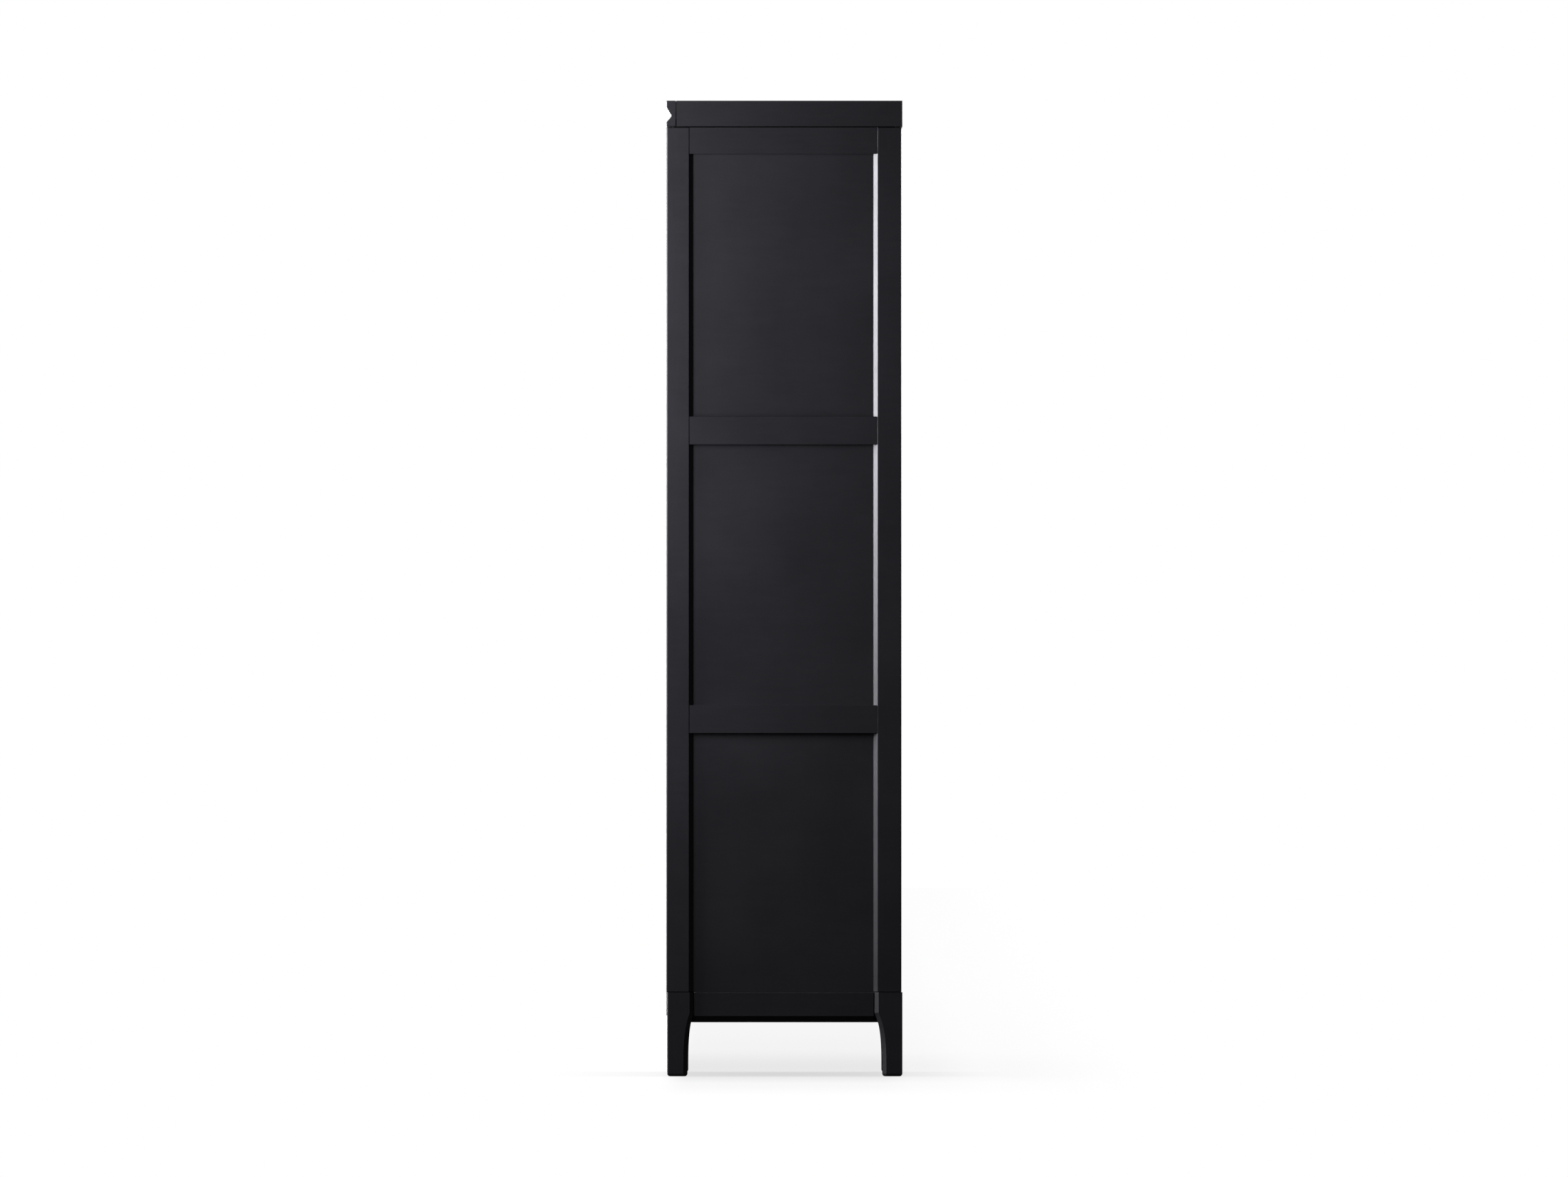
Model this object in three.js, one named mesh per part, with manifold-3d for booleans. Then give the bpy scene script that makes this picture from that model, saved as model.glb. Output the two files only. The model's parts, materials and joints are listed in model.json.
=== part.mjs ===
// Two-door wardrobe on legs: framed and panelled sides and doors, a crown with a routed fascia.
// Millimetres, +Z up, front towards -Y, origin on the floor under the middle of the case.
import * as THREE from "three";
import { mergeVertices } from "three/addons/utils/BufferGeometryUtils.js";
import Module from "manifold-3d";

const wasm = await Module();
wasm.setup();

// Overall size
const height = 2090;
const width = 1016;
const depth = 506;

// Crown
const crownHeight = 55;
const crownBoard = 21;
const crownReveal = 2;
const topBoardThickness = 18;
const topBoardInset = 14;
const fasciaUpperLip = 13;
const fasciaUpperSlope = 17;
const fasciaValley = 6;
const fasciaLowerSlope = 10.5;
const fasciaGrooveDepth = 9.5;
const fasciaLipRadius = 10;
const fasciaValleyRadius = 7;
const crownSideEase = 0.5;
const crownSeamWidth = 1.6;
const crownSeamDepth = 3;

// Posts and legs
const legHeight = 180;
const postThickness = 40;
const frontPostWidth = 57;
const rearPostWidth = 60;
const outerCornerRadius = 3;
const hingeCornerRadius = 6;
const chamfer = 9;
const legSetback = 2;
const legSideInset = 1;
const legTaperFront = 13.5;
const legTaperRear = 16.7;
const legTaperSide = 13.5;
const legTaperStart = 136;
const legTaperPower = 3.6;
const footRadius = 6;

// Rails and panels of the sides and the doors
const topRailHeight = 57;
const midRailHeight = 60;
const bottomRailHeight = 52;
const middleFieldHeight = 558.5;
const lowerFieldHeight = 555;
const railThickness = 21;
const panelThickness = 8;
const panelRecess = 10.5;
const railBlunt = 1.4;
const grooveDepth = 8;

// Floor, back and inside
const floorThickness = 18;
const floorDrop = 12.5;
const stretcherHeight = 45;
const stretcherThickness = 18;
const stretcherSetback = 1;
const shelfThickness = 18;
const shelfBelowTop = 300;
const shelfFrontSetback = 30;
const rodRadius = 12.5;
const rodWall = 1.5;
const rodBelowShelf = 60;
const socketFlangeRadius = 27;
const socketFlangeThickness = 4;
const socketCupWall = 3;
const socketCupLength = 12;

// Doors
const doorThickness = 20;
const doorPanelThickness = 6;
const stileWidth = 57;
const hingeReveal = 3;
const meetingReveal = 3;
const topReveal = 2;
const bottomReveal = 2;
const doorBackReveal = 2;
const pullLength = 320;
const pullMouth = 13;
const pullUndercut = 6;
const pullLip = 5;
const pullDepth = 14;
const pullLipSlope = 2;
const pullCorner = 3;
const pullHeight = 1080;

// Butt hinges whose barrels lie in the reveal, level with the front
const hingeLength = 76;
const hingeEndDistance = 200;
const barrelRadius = 3.5;
const pinRadius = 1.4;
const pinSetback = 1;
const leafThickness = 2;
const leafWidth = 15;
const barrelSides = 20;
const rodSides = 32;

// Magnetic catch under the front stretcher
const catchWidth = 92;
const catchHeight = 13;
const catchDepth = 26;

// Clearances
const gap = 0.3;
const turningGap = 0.4;
const edgeEase = 1.4;
const railEase = 0.6;
const overcut = 1;

// Levels and planes that follow from the sizes above
const sideX = width / 2;
const innerPostX = sideX - postThickness;
const frontY = -depth / 2;
const rearY = depth / 2;
const postRearY = rearY - legSetback;
const frontPostEndY = frontY + frontPostWidth;
const rearPostEndY = postRearY - rearPostWidth;
const crownBottom = height - crownHeight;
const caseTop = crownBottom - crownReveal;
const topRailBottom = caseTop - topRailHeight;
const bottomRailTop = legHeight;
const bottomRailBottom = bottomRailTop - bottomRailHeight;
const lowerRailBottom = bottomRailTop + lowerFieldHeight;
const upperRailBottom = lowerRailBottom + midRailHeight + middleFieldHeight;
const floorBottom = bottomRailBottom - floorDrop;
const floorTop = floorBottom + floorThickness;
const sidePanelX = sideX - panelRecess;
const backPanelY = postRearY - panelRecess;
const bottomRailX = sideX - chamfer;
const doorBackY = frontY + doorThickness;
const behindDoorY = doorBackY + doorBackReveal;
const doorHingeX = innerPostX - hingeReveal;
const doorMeetingX = meetingReveal / 2;
const doorPanelY = frontY + panelRecess;
const doorTop = caseTop - topReveal;
const doorBottom = bottomRailBottom + bottomReveal;
const shelfTop = caseTop - shelfBelowTop;
const rodZ = shelfTop - shelfThickness - rodBelowShelf;
const rodY = (behindDoorY + backPanelY - panelThickness) / 2;
const hingeAxisX = innerPostX - hingeReveal / 2;
const hingeAxisY = frontY + barrelRadius;
const hingeLevels = {
  top: doorTop - hingeEndDistance,
  middle: (doorTop + doorBottom) / 2,
  bottom: doorBottom + hingeEndDistance,
};

// Materials

function finish(color, roughness, metalness = 0) {
  return new THREE.MeshStandardMaterial({ color, roughness, metalness, flatShading: true });
}

const blackLacquer = finish(0x1d1d20, 0.36);
const blackPanel = finish(0x202023, 0.34);
const blackInside = finish(0x262628, 0.5);
const steel = finish(0xb4b5b8, 0.3, 1);
const darkSteel = finish(0x2b2b2d, 0.38, 0.9);
const catchPlastic = finish(0x18181a, 0.55);

// Shapes

const alongX = new THREE.Vector3(1, 0, 0);
const alongY = new THREE.Vector3(0, 1, 0);
const alongZ = new THREE.Vector3(0, 0, 1);
const turnTo = {
  x: new THREE.Matrix4().makeBasis(alongY, alongZ, alongX),
  y: new THREE.Matrix4().makeBasis(alongZ, alongX, alongY),
  z: new THREE.Matrix4(),
};
const crossOf = { x: ["y", "z"], y: ["z", "x"], z: ["x", "y"] };

// An outline pushed along an axis, with the edges of both ends eased.
function prism(points, axis, [from, to], ease = 0) {
  const shape = new THREE.Shape(points.map(([a, b]) => new THREE.Vector2(a, b)));
  const geometry = new THREE.ExtrudeGeometry(shape, {
    depth: to - from - 2 * ease,
    bevelEnabled: ease > 0,
    bevelThickness: ease,
    bevelSize: ease,
    bevelOffset: -ease,
    bevelSegments: 1,
  });
  return geometry.translate(0, 0, from + ease).applyMatrix4(turnTo[axis]);
}

function rectangle([a0, a1], [b0, b1], ease) {
  if (!ease) return [[a0, b0], [a1, b0], [a1, b1], [a0, b1]];
  return [
    [a0 + ease, b0], [a1 - ease, b0], [a1, b0 + ease], [a1, b1 - ease],
    [a1 - ease, b1], [a0 + ease, b1], [a0, b1 - ease], [a0, b0 + ease],
  ];
}

// A board with eased edges, extruded along its longest side.
function board(x, y, z, ease = edgeEase) {
  const spans = { x, y, z };
  const length = (name) => spans[name][1] - spans[name][0];
  const axis = Object.keys(spans).reduce((a, b) => (length(b) > length(a) ? b : a));
  const [first, second] = crossOf[axis];
  return prism(rectangle(spans[first], spans[second], ease), axis, spans[axis], ease);
}

// Points of an arc, its angles in quarter turns.
function arc(a, b, radius, from, to, steps = 4) {
  return Array.from({ length: steps + 1 }, (_, i) => {
    const angle = ((from + ((to - from) * i) / steps) * Math.PI) / 2;
    return [a + radius * Math.cos(angle), b + radius * Math.sin(angle)];
  });
}

// The points of a rounded corner at `corner`, between the points before and after it.
function rounded(before, corner, after, radius, steps = 4) {
  const tip = new THREE.Vector2(...corner);
  const back = new THREE.Vector2(...before).sub(tip).normalize();
  const ahead = new THREE.Vector2(...after).sub(tip).normalize();
  const half = Math.acos(back.dot(ahead)) / 2;
  const reach = radius / Math.tan(half);
  const curve = new THREE.QuadraticBezierCurve(
    tip.clone().addScaledVector(back, reach),
    tip,
    tip.clone().addScaledVector(ahead, reach),
  );
  return curve.getPoints(steps).map(({ x, y }) => [x, y]);
}

function rod(a, b, radius, axis, span, sides = barrelSides) {
  return prism(arc(a, b, radius, 0, 4, sides).slice(0, sides), axis, span);
}

// Cuts and joins

function solid(geometry) {
  const bare = geometry.index ? geometry.toNonIndexed() : geometry.clone();
  bare.deleteAttribute("normal");
  bare.deleteAttribute("uv");
  const merged = mergeVertices(bare, 1e-4);
  return new wasm.Manifold(
    new wasm.Mesh({
      numProp: 3,
      vertProperties: merged.attributes.position.array,
      triVerts: new Uint32Array(merged.index.array),
    }),
  );
}

function geometryOf(made) {
  const { vertProperties, triVerts } = made.getMesh();
  const geometry = new THREE.BufferGeometry();
  geometry.setAttribute("position", new THREE.BufferAttribute(vertProperties, 3));
  geometry.setIndex(new THREE.BufferAttribute(triVerts, 1));
  return geometry;
}

function cut(geometry, ...cutters) {
  return geometryOf(cutters.reduce((made, cutter) => made.subtract(solid(cutter)), solid(geometry)));
}

function join(geometry, ...others) {
  return geometryOf(others.reduce((made, other) => made.add(solid(other)), solid(geometry)));
}

function piece(name, geometry, material) {
  const mesh = new THREE.Mesh(geometry, material);
  mesh.name = name;
  return mesh;
}

// Posts: a square section with an eased outer corner and a chamfer towards the side panel.
// inward is 1 for a front post and -1 for a rear one.
function postPlan(outerY, innerY, inward, insideRadius) {
  const outer = outerY + inward * outerCornerRadius;
  const inside = arc(0, 0, insideRadius, 2, 3).map(([a, b]) => [
    innerPostX + insideRadius + a,
    outerY + inward * (insideRadius + b),
  ]);
  const outside = arc(0, 0, outerCornerRadius, 3, 4).map(([a, b]) => [
    sideX - outerCornerRadius + a,
    outer + inward * b,
  ]);
  return [
    ...inside,
    ...outside,
    [sideX, innerY - inward * chamfer],
    [sideX - chamfer, innerY],
    [innerPostX, innerY],
  ];
}

const postSpan = [legHeight + gap, caseTop];

// A groove for a panel's edge, open along the whole post.
function panelGroove(edgeY, inward) {
  const y = [edgeY - inward * grooveDepth, edgeY + inward * gap].sort((a, b) => a - b);
  return board([sidePanelX - panelThickness - gap, sidePanelX + gap], y, openSpan(postSpan), 0);
}

// A cutter's span, a little past both ends of what it cuts.
function openSpan([from, to]) {
  return [from - overcut, to + overcut];
}

function hingeMortises() {
  return Object.values(hingeLevels).flatMap((level) => {
    const span = [level - hingeLength / 2 - turningGap, level + hingeLength / 2 + turningGap];
    const leafY = [hingeAxisY, hingeAxisY + leafWidth + gap];
    return [
      rod(hingeAxisX, hingeAxisY, barrelRadius + turningGap, "z", span),
      board([innerPostX - overcut, innerPostX + leafThickness + gap], leafY, span, 0),
    ];
  });
}

function frontPost() {
  const plan = postPlan(frontY, frontPostEndY, 1, hingeCornerRadius);
  const whole = prism(plan, "z", postSpan, edgeEase);
  return cut(whole, panelGroove(frontPostEndY, 1), ...hingeMortises());
}

function rearPost() {
  const plan = postPlan(postRearY, rearPostEndY, -1, outerCornerRadius);
  const whole = prism(plan, "z", postSpan, edgeEase);
  const backGroove = board(
    [innerPostX - overcut, innerPostX + grooveDepth],
    [backPanelY - panelThickness - gap, backPanelY + gap],
    openSpan(postSpan),
    0,
  );
  return cut(whole, panelGroove(rearPostEndY, -1), backGroove);
}

// Legs: the post's section, drawn in towards the outer corner by a cove and rounded at the foot.
function coveAt(z) {
  return z >= legTaperStart ? 0 : 1 - (z / legTaperStart) ** legTaperPower;
}

function footInset(z) {
  return z >= footRadius ? 0 : footRadius - Math.sqrt(footRadius ** 2 - (footRadius - z) ** 2);
}

function legRing(z, outerY, innerY, inward, taper) {
  const inset = footInset(z);
  const x0 = innerPostX + legTaperSide * coveAt(z) + inset;
  const x1 = sideX - legSideInset - inset;
  const y0 = outerY + inward * inset;
  const y1 = innerY - inward * (taper * coveAt(z) + inset);
  const ease = Math.max(chamfer - inset, outerCornerRadius);
  const corner = outerCornerRadius;
  const ring = [
    [x0, y0],
    ...arc(0, 0, corner, 3, 4).map(([a, b]) => [x1 - corner + a, y0 + inward * (corner + b)]),
    [x1, y1 - inward * ease],
    [x1 - ease, y1],
    [x0, y1],
  ];
  return inward > 0 ? ring : ring.reverse();
}

// Rings of equal length, lowest first and counter-clockwise from above, closed by flat ends.
function loft(rings, levels) {
  const count = rings[0].length;
  const places = rings.flatMap((ring, i) => ring.flatMap(([x, y]) => [x, y, levels[i]]));
  const faces = [];
  for (let i = 0; i + 1 < rings.length; i++) {
    for (let j = 0; j < count; j++) {
      const a = i * count + j;
      const b = i * count + ((j + 1) % count);
      faces.push(a, b, b + count, a, b + count, a + count);
    }
  }
  const top = (rings.length - 1) * count;
  for (let j = 1; j + 1 < count; j++) faces.push(0, j + 1, j, top, top + j, top + j + 1);
  const geometry = new THREE.BufferGeometry();
  geometry.setAttribute("position", new THREE.Float32BufferAttribute(places, 3));
  geometry.setIndex(faces);
  return geometry;
}

function leg(outerY, innerY, inward, taper) {
  const footSteps = 4;
  const coveSteps = 12;
  const levels = [legHeight];
  for (let i = 0; i <= coveSteps; i++) {
    levels.unshift(legTaperStart - ((legTaperStart - footRadius) * i) / coveSteps);
  }
  for (let i = 1; i <= footSteps; i++) {
    levels.unshift(footRadius * (1 - Math.sin((i * Math.PI) / 2 / footSteps)));
  }
  return loft(levels.map((z) => legRing(z, outerY, innerY, inward, taper)), levels);
}

// Rails run over the chamfers on both sides of them, and their thin ends are cut square there.
// A rail's plan is drawn from its face inwards.
function railPlan(from, to, thickness) {
  const a0 = from + turningGap;
  const a1 = to - turningGap;
  const planted = thickness === plantedThickness;
  const slope = planted ? thickness : chamfer;
  const right = [[a1 - railBlunt, 0], [a1 - railBlunt, railBlunt], [a1 - slope, slope]];
  const back = planted ? [] : [[a1 - slope, thickness], [a0 + slope, thickness]];
  return [...right, ...back, [a0 + slope, slope], [a0 + railBlunt, railBlunt], [a0 + railBlunt, 0]];
}

const sideRailEnds = [frontPostEndY - chamfer, rearPostEndY + chamfer];
const plantedThickness = panelRecess - gap;

function sideRail([from, to], thickness) {
  const plan = railPlan(...sideRailEnds, thickness).map(([a, d]) => [sideX - d, a]);
  return prism(plan, "z", [from, to], railEase);
}

function sideRailGroove(z) {
  const x = [sidePanelX - panelThickness - gap, sidePanelX + gap];
  return board(x, openSpan(sideRailEnds), z, 0);
}

// The bottom rail lies back between the leg heads, and the panel stands on it.
function sideBottomRail() {
  const y = [frontPostEndY + legSetback + turningGap, rearPostEndY + legSetback - turningGap];
  return board([bottomRailX - railThickness, bottomRailX], y, [bottomRailBottom, bottomRailTop]);
}

// The panels of the sides and of the back stand on the bottom rails, in grooves on their other edges.
const casePanelZ = [legHeight + gap, topRailBottom + grooveDepth - gap];

function caseSide(side) {
  const panelX = [sidePanelX - panelThickness, sidePanelX];
  const panelY = [frontPostEndY - grooveDepth + gap, rearPostEndY + grooveDepth - gap];
  const panel = board(panelX, panelY, casePanelZ, 0);
  const topGroove = sideRailGroove([topRailBottom - overcut, topRailBottom + grooveDepth]);
  const topRail = cut(sideRail([topRailBottom, caseTop], railThickness), topGroove);
  const midRail = (z) => sideRail([z, z + midRailHeight], plantedThickness);
  const legPlaces = {
    front: [frontY + legSetback, frontPostEndY + legSetback, 1, legTaperFront],
    rear: [postRearY + legSetback, rearPostEndY + legSetback, -1, legTaperRear],
  };
  return [
    piece(`post_front_${side}`, frontPost(), blackLacquer),
    piece(`post_rear_${side}`, rearPost(), blackLacquer),
    piece(`leg_front_${side}`, leg(...legPlaces.front), blackLacquer),
    piece(`leg_rear_${side}`, leg(...legPlaces.rear), blackLacquer),
    piece(`side_panel_${side}`, panel, blackPanel),
    piece(`side_top_rail_${side}`, topRail, blackLacquer),
    piece(`side_upper_rail_${side}`, midRail(upperRailBottom), blackLacquer),
    piece(`side_lower_rail_${side}`, midRail(lowerRailBottom), blackLacquer),
    piece(`side_bottom_rail_${side}`, sideBottomRail(), blackLacquer),
  ];
}

// Crown: a fascia with a routed groove, two sides and a back, rebated over a board on the posts.
const topBoardZ = [caseTop + gap, caseTop + gap + topBoardThickness];
const topBoardX = sideX - topBoardInset;
const topBoardY = depth / 2 - topBoardInset;

function crownRebate() {
  const x = [-topBoardX - gap, topBoardX + gap];
  const y = [-topBoardY - gap, topBoardY + gap];
  return board(x, y, [crownBottom - overcut, topBoardZ[1] + gap], 0);
}

function crownFascia() {
  const slopeTop = height - fasciaUpperLip;
  const valleyTop = slopeTop - fasciaUpperSlope;
  const valleyBottom = valleyTop - fasciaValley;
  const slopeBottom = valleyBottom - fasciaLowerSlope;
  const backY = frontY + crownBoard;
  const valleyY = frontY + fasciaGrooveDepth;
  const profile = [
    [frontY + edgeEase, height],
    [frontY, height - edgeEase],
    ...rounded([frontY, height], [frontY, slopeTop], [valleyY, valleyTop], fasciaLipRadius),
    ...rounded([frontY, slopeTop], [valleyY, valleyTop], [valleyY, valleyBottom], fasciaValleyRadius),
    ...rounded([valleyY, valleyTop], [valleyY, valleyBottom], [frontY, slopeBottom], fasciaValleyRadius),
    ...rounded([valleyY, valleyBottom], [frontY, slopeBottom], [frontY, crownBottom], fasciaLipRadius),
    [frontY, crownBottom + edgeEase],
    [frontY + edgeEase, crownBottom],
    [backY, crownBottom],
    [backY, height - edgeEase],
    [backY - edgeEase, height],
  ];
  return cut(prism(profile, "x", [-sideX, sideX], edgeEase), crownRebate());
}

// A narrow seam is left open between the fascia's end and the side behind it.
function crownSide() {
  const x = [sideX - crownBoard, sideX];
  const y = [frontY + crownBoard + gap, rearY];
  const seamY = [y[0] - overcut, y[0] - gap + crownSeamWidth];
  const seam = board([sideX - crownSeamDepth, sideX + overcut], seamY, openSpan([crownBottom, height]), 0);
  return cut(board(x, y, [crownBottom, height], crownSideEase), crownRebate(), seam);
}

function crownBack() {
  const x = [-sideX + crownBoard + gap, sideX - crownBoard - gap];
  const y = [rearY - crownBoard, rearY];
  return cut(board(x, y, [crownBottom, height], crownSideEase), crownRebate());
}

function topBoard() {
  return board([-topBoardX, topBoardX], [-topBoardY, topBoardY], topBoardZ);
}

// A board that reaches the sides, with its corners notched round the posts or the leg heads.
function notchedBoard(outX, [y0, y1], z) {
  const postX = innerPostX - gap;
  const notchFront = frontPostEndY + legSetback + gap;
  const notchRear = rearPostEndY - gap;
  const right = [
    [postX, y0], [postX, notchFront], [outX, notchFront],
    [outX, notchRear], [postX, notchRear], [postX, y1],
  ];
  const left = right.map(([a, b]) => [-a, b]).reverse();
  return prism([...right, ...left], "z", z, edgeEase);
}

function backRail(z) {
  const x = [-innerPostX + turningGap, innerPostX - turningGap];
  return board(x, [postRearY - railThickness, postRearY], z);
}

function backRailGroove(z) {
  const y = [backPanelY - panelThickness - gap, backPanelY + gap];
  return board(openSpan([-innerPostX, innerPostX]), y, z, 0);
}

function carcase() {
  const insideBackY = postRearY - railThickness - gap;
  const backX = innerPostX + grooveDepth - gap;
  const back = board([-backX, backX], [backPanelY - panelThickness, backPanelY], casePanelZ, 0);
  const topGroove = backRailGroove([topRailBottom - overcut, topRailBottom + grooveDepth]);
  const topRail = cut(backRail([topRailBottom, caseTop]), topGroove);
  const bottomRail = backRail([bottomRailBottom, bottomRailTop]);
  const stretcherX = [-innerPostX + gap, innerPostX - gap];
  const stretcherFront = behindDoorY + stretcherSetback;
  const stretcherY = [stretcherFront, stretcherFront + stretcherThickness];
  const shelfY = [behindDoorY + shelfFrontSetback, insideBackY];
  const shelfX = sidePanelX - panelThickness - gap;
  const floorX = bottomRailX - railThickness - gap;
  const floor = notchedBoard(floorX, [behindDoorY, insideBackY], [floorBottom, floorTop]);
  const shelf = notchedBoard(shelfX, shelfY, [shelfTop - shelfThickness, shelfTop]);
  const stretcher = board(stretcherX, stretcherY, [caseTop - stretcherHeight, caseTop]);
  return [
    piece("floor_panel", floor, blackInside),
    piece("back_panel", back, blackInside),
    piece("back_top_rail", topRail, blackLacquer),
    piece("back_bottom_rail", bottomRail, blackLacquer),
    piece("front_stretcher", stretcher, blackInside),
    piece("hat_shelf", shelf, blackInside),
    piece("magnet_catch", magnetCatch(), catchPlastic),
  ];
}

function magnetCatch() {
  const z1 = caseTop - stretcherHeight - gap;
  const half = catchWidth / 2;
  return board([-half, half], [behindDoorY, behindDoorY + catchDepth], [z1 - catchHeight, z1]);
}

// Hanging rod in two flanged sockets on the side panels.
const socketX = sidePanelX - panelThickness - gap;

function rodSocket() {
  const cup = rodRadius + gap + socketCupWall;
  const mouth = socketFlangeThickness + socketCupLength;
  const profile = [
    [0, 0], [socketFlangeRadius - edgeEase, 0], [socketFlangeRadius, edgeEase],
    [socketFlangeRadius, socketFlangeThickness - edgeEase],
    [socketFlangeRadius - edgeEase, socketFlangeThickness], [cup, socketFlangeThickness],
    [cup, mouth], [rodRadius + gap, mouth], [rodRadius + gap, socketFlangeThickness],
    [0, socketFlangeThickness],
  ].map(([a, b]) => new THREE.Vector2(a, b));
  return new THREE.LatheGeometry(profile, rodSides).rotateZ(Math.PI / 2).translate(socketX, rodY, rodZ);
}

function hangingRod() {
  const half = socketX - socketFlangeThickness - gap;
  const bore = rod(rodY, rodZ, rodRadius - rodWall, "x", openSpan([-half, half]), rodSides);
  return cut(rod(rodY, rodZ, rodRadius, "x", [-half, half], rodSides), bore);
}

// Hinges: the case leaf holds the pin in its two outer knuckles, the door leaf turns on it.
function hingeLeaves(level) {
  const z0 = level - hingeLength / 2;
  const z1 = level + hingeLength / 2;
  const knuckle = hingeLength / 3;
  const barrel = (span) => rod(hingeAxisX, hingeAxisY, barrelRadius, "z", span);
  const room = (span) => rod(hingeAxisX, hingeAxisY, barrelRadius + turningGap, "z", span);
  const pin = (radius, span) => rod(hingeAxisX, hingeAxisY, radius, "z", span);
  const leafY = [hingeAxisY, hingeAxisY + leafWidth];
  const middle = [z0 + knuckle + gap, z1 - knuckle - gap];
  const low = [z0, z0 + knuckle];
  const high = [z1 - knuckle, z1];
  const casePlate = board([innerPostX, innerPostX + leafThickness], leafY, [z0, z1], 0);
  const doorPlate = board([doorHingeX - leafThickness, doorHingeX], leafY, [z0, z1], 0);
  const casePart = cut(casePlate, room([low[1], high[0]]));
  const doorCuts = [room([z0 - overcut, low[1] + gap]), room([high[0] - gap, z1 + overcut])];
  const doorPart = join(cut(doorPlate, ...doorCuts), barrel(middle));
  return {
    caseLeaf: join(casePart, barrel(low), barrel(high), pin(pinRadius, [z0 + pinSetback, z1 - pinSetback])),
    doorLeaf: cut(doorPart, pin(pinRadius + turningGap, openSpan(middle))),
  };
}

// Doors: a stile each side, rails level with those of the case side, one panel behind them all.
function doorMortises() {
  return Object.values(hingeLevels).flatMap((level) => {
    const span = [level - hingeLength / 2 - turningGap, level + hingeLength / 2 + turningGap];
    const leafX = [doorHingeX - leafThickness - gap, doorHingeX + overcut];
    return [
      rod(hingeAxisX, hingeAxisY, barrelRadius + turningGap, "z", span),
      board(leafX, [hingeAxisY, hingeAxisY + leafWidth + gap], span, 0),
    ];
  });
}

const doorSpan = [doorBottom, doorTop];
const doorPanelBackY = doorPanelY + doorPanelThickness;

function stileGroove(x) {
  return board(x, [doorPanelY - gap, doorPanelBackY + gap], openSpan(doorSpan), 0);
}

function hingeStile() {
  const x0 = doorHingeX - stileWidth;
  const corner = arc(
    doorHingeX - hingeCornerRadius, frontY + hingeCornerRadius, hingeCornerRadius, 3, 4,
  );
  const plan = [
    [x0, doorBackY], [x0, frontY + chamfer], [x0 + chamfer, frontY], ...corner,
    [doorHingeX, doorBackY],
  ];
  const groove = stileGroove([x0 - overcut, x0 + grooveDepth]);
  return cut(prism(plan, "z", doorSpan, edgeEase), groove, ...doorMortises());
}

// The finger pull is undercut behind a lip, and its mouth is open to the gap between the doors.
function fingerPull() {
  const lipY = frontY + pullLip;
  const outside = doorMeetingX - overcut;
  const before = frontY - overcut;
  const mouth = doorMeetingX + pullMouth;
  const deep = mouth + pullUndercut;
  const backY = frontY + pullDepth;
  const plan = [
    [outside, before], [mouth, before], [mouth, lipY], [deep, lipY + pullLipSlope],
    [deep, backY - pullCorner], [deep - pullCorner, backY], [outside, backY],
  ];
  return prism(plan, "z", [pullHeight - pullLength / 2, pullHeight + pullLength / 2]);
}

function meetingStile() {
  const x0 = doorMeetingX;
  const x1 = doorMeetingX + stileWidth;
  const plan = [
    [x0, doorBackY], [x0, frontY + edgeEase], [x0 + edgeEase, frontY],
    [x1 - chamfer, frontY], [x1, frontY + chamfer], [x1, doorBackY],
  ];
  const groove = stileGroove([x1 - grooveDepth, x1 + overcut]);
  return cut(prism(plan, "z", doorSpan, edgeEase), groove, fingerPull());
}

const doorFieldX = [doorMeetingX + stileWidth, doorHingeX - stileWidth];

function doorRail([from, to], thickness) {
  const ends = [doorFieldX[0] - chamfer, doorFieldX[1] + chamfer];
  const plan = railPlan(...ends, thickness).map(([a, d]) => [a, frontY + d]);
  return prism(plan, "z", [from, to], railEase);
}

function doorRailGroove(z) {
  const x = openSpan([doorFieldX[0] - chamfer, doorFieldX[1] + chamfer]);
  return board(x, [doorPanelY - gap, doorPanelBackY + gap], z, 0);
}

function door(side) {
  const panelX = [doorFieldX[0] - grooveDepth + gap, doorFieldX[1] + grooveDepth - gap];
  const panelZ = [bottomRailTop - grooveDepth + gap, topRailBottom + grooveDepth - gap];
  const panel = board(panelX, [doorPanelY, doorPanelBackY], panelZ, 0);
  const topGroove = doorRailGroove([topRailBottom - overcut, topRailBottom + grooveDepth]);
  const bottomGroove = doorRailGroove([bottomRailTop - grooveDepth, bottomRailTop + overcut]);
  const topRail = cut(doorRail([topRailBottom, doorTop], doorThickness), topGroove);
  const bottomRail = cut(doorRail([doorBottom, bottomRailTop], doorThickness), bottomGroove);
  const midRail = (z) => doorRail([z, z + midRailHeight], plantedThickness);
  return [
    piece(`door_${side}_hinge_stile`, hingeStile(), blackLacquer),
    piece(`door_${side}_meeting_stile`, meetingStile(), blackLacquer),
    piece(`door_${side}_top_rail`, topRail, blackLacquer),
    piece(`door_${side}_upper_rail`, midRail(upperRailBottom), blackLacquer),
    piece(`door_${side}_lower_rail`, midRail(lowerRailBottom), blackLacquer),
    piece(`door_${side}_bottom_rail`, bottomRail, blackLacquer),
    piece(`door_${side}_panel`, panel, blackPanel),
  ];
}

function hinges(side) {
  return Object.entries(hingeLevels).flatMap(([place, level]) => {
    const { caseLeaf, doorLeaf } = hingeLeaves(level);
    return [
      piece(`hinge_${side}_${place}_case_leaf`, caseLeaf, darkSteel),
      piece(`hinge_${side}_${place}_door_leaf`, doorLeaf, darkSteel),
    ];
  });
}

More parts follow.
